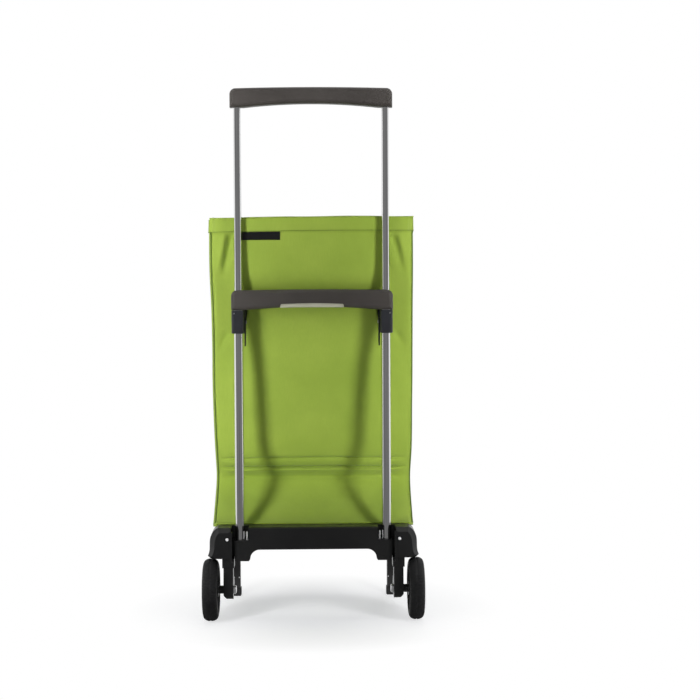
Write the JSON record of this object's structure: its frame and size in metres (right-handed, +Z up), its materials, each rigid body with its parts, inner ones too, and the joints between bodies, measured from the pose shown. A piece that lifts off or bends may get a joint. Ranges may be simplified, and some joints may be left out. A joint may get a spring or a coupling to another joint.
{
  "type": "folding two-wheel shopping trolley",
  "caption": "Upright fabric shopping bag on a folding two-wheel cart with a telescoping push handle, carrying grip, hinged bag platform and front legs.",
  "frame": {"origin": "centre of the bounding box at floor level", "axes": "+Z up; +Y forward, away from the person pushing it; +X to the right seen from behind"},
  "size_m": [0.4368, 0.323, 1.05],
  "materials": {
    "frame_plastic": "fine moulded texture",
    "grip_plastic": "warm dark grey, satin",
    "lever_plastic": "light warm grey, satin",
    "bracket_plastic": "blue-black, satin",
    "polished_tube": "polished, clear anodised",
    "rivet_metal": "satin",
    "steel": "zinc plated",
    "bright_cap": "bright",
    "coated_steel": "powder coated black",
    "nylon": "natural",
    "tyre_foam": "matte foam rubber with fine cross ribs",
    "rim_plastic": "satin",
    "foot_rubber": "matte",
    "bag_fabric": "lime green coated polyester weave",
    "label_weave": "black satin weave, blank"
  },
  "bodies": {
    "chassis": {"rear_beam": "frame_plastic", "left_corner_housing": "frame_plastic", "right_corner_housing": "frame_plastic", "leg_rivets": "rivet_metal", "left_wheel_leg": "frame_plastic", "right_wheel_leg": "frame_plastic", "left_axle": "steel", "right_axle": "steel", "axle_caps": "bright_cap", "axle_spacers": "rim_plastic", "axle_retaining_washers": "steel", "left_outer_tube": "polished_tube", "right_outer_tube": "polished_tube", "tube_guide_bushes": "nylon", "tube_foot_clips": "rivet_metal", "lower_handle": "grip_plastic", "left_bracket": "bracket_plastic", "right_bracket": "bracket_plastic", "bracket_screws": "steel", "hoop_pivot_pins": "steel", "platform_hinge_pins": "steel", "rear_link_pins": "steel", "bag_shell": "bag_fabric", "bag_label": "label_weave"},
    "push_handle": {"left_inner_tube": "polished_tube", "right_inner_tube": "polished_tube", "inner_tube_plugs": "nylon", "upper_handle": "grip_plastic"},
    "release_lever": {"release_lever": "lever_plastic", "lever_springs": "steel"},
    "left_wheel": {"left_tyre": "tyre_foam", "left_rim": "rim_plastic", "left_hub_bush": "nylon", "left_hub_cap": "rim_plastic"},
    "right_wheel": {"right_tyre": "tyre_foam", "right_rim": "rim_plastic", "right_hub_bush": "nylon", "right_hub_cap": "rim_plastic"},
    "platform": {"platform": "frame_plastic"},
    "front_legs": {"front_hinge_rod": "steel", "left_front_leg": "frame_plastic", "right_front_leg": "frame_plastic", "left_foot_pad": "foot_rubber", "right_foot_pad": "foot_rubber", "foot_screws": "steel", "front_link_pins": "steel"},
    "left_link": {"left_link_bar": "frame_plastic"},
    "right_link": {"right_link_bar": "frame_plastic"},
    "hoop": {"bag_hoop": "coated_steel", "left_hoop_end": "bracket_plastic", "right_hoop_end": "bracket_plastic"},
    "lid": {"lid_flap": "bag_fabric"}
  },
  "joints": [
    {"name": "handle_slide", "type": "slide", "parent": "chassis", "child": "push_handle", "axis": [0, 0, 1], "range_m": [-0.35, 0]},
    {"name": "lever_press", "type": "slide", "parent": "chassis", "child": "release_lever", "axis": [0, 0, 1], "range_m": [0, 0.005], "stiffness_N_per_m": 200, "springref_m": -0.005, "deforming": ["lever_springs"]},
    {"name": "left_wheel_spin", "type": "hinge", "parent": "chassis", "child": "left_wheel", "pos_m": [-0.2032, -0.1, 0.0615], "axis": [1, 0, 0], "continuous": true},
    {"name": "right_wheel_spin", "type": "hinge", "parent": "chassis", "child": "right_wheel", "pos_m": [0.2032, -0.1, 0.0615], "axis": [1, 0, 0], "continuous": true},
    {"name": "platform_fold", "type": "hinge", "parent": "chassis", "child": "platform", "pos_m": [0, -0.03, 0.175], "axis": [1, 0, 0], "range_deg": [0, 90], "deforming": ["bag_shell", "lid_flap"]},
    {"name": "front_leg_fold", "type": "hinge", "parent": "platform", "child": "front_legs", "pos_m": [0, 0.148, 0.175], "axis": [1, 0, 0], "range_deg": [-90, 0]},
    {"name": "left_link_fold", "type": "hinge", "parent": "chassis", "child": "left_link", "pos_m": [-0.1756, -0.03, 0.062], "axis": [1, 0, 0], "range_deg": [0, 90]},
    {"name": "right_link_fold", "type": "hinge", "parent": "chassis", "child": "right_link", "pos_m": [0.1756, -0.03, 0.062], "axis": [1, 0, 0], "range_deg": [0, 90]},
    {"name": "hoop_fold", "type": "hinge", "parent": "chassis", "child": "hoop", "pos_m": [0, -0.0872, 0.591], "axis": [1, 0, 0], "range_deg": [0, 39]},
    {"name": "lid_hinge", "type": "hinge", "parent": "chassis", "child": "lid", "pos_m": [0, -0.086, 0.7961], "axis": [1, 0, 0], "range_deg": [0, 88]}
  ],
  "couplings": [
    {"joint": "front_leg_fold", "follows": "platform_fold", "ratio": -1},
    {"joint": "left_link_fold", "follows": "platform_fold", "ratio": 1},
    {"joint": "right_link_fold", "follows": "platform_fold", "ratio": 1},
    {"joint": "hoop_fold", "follows": "platform_fold", "ratio": 0.4333}
  ]
}
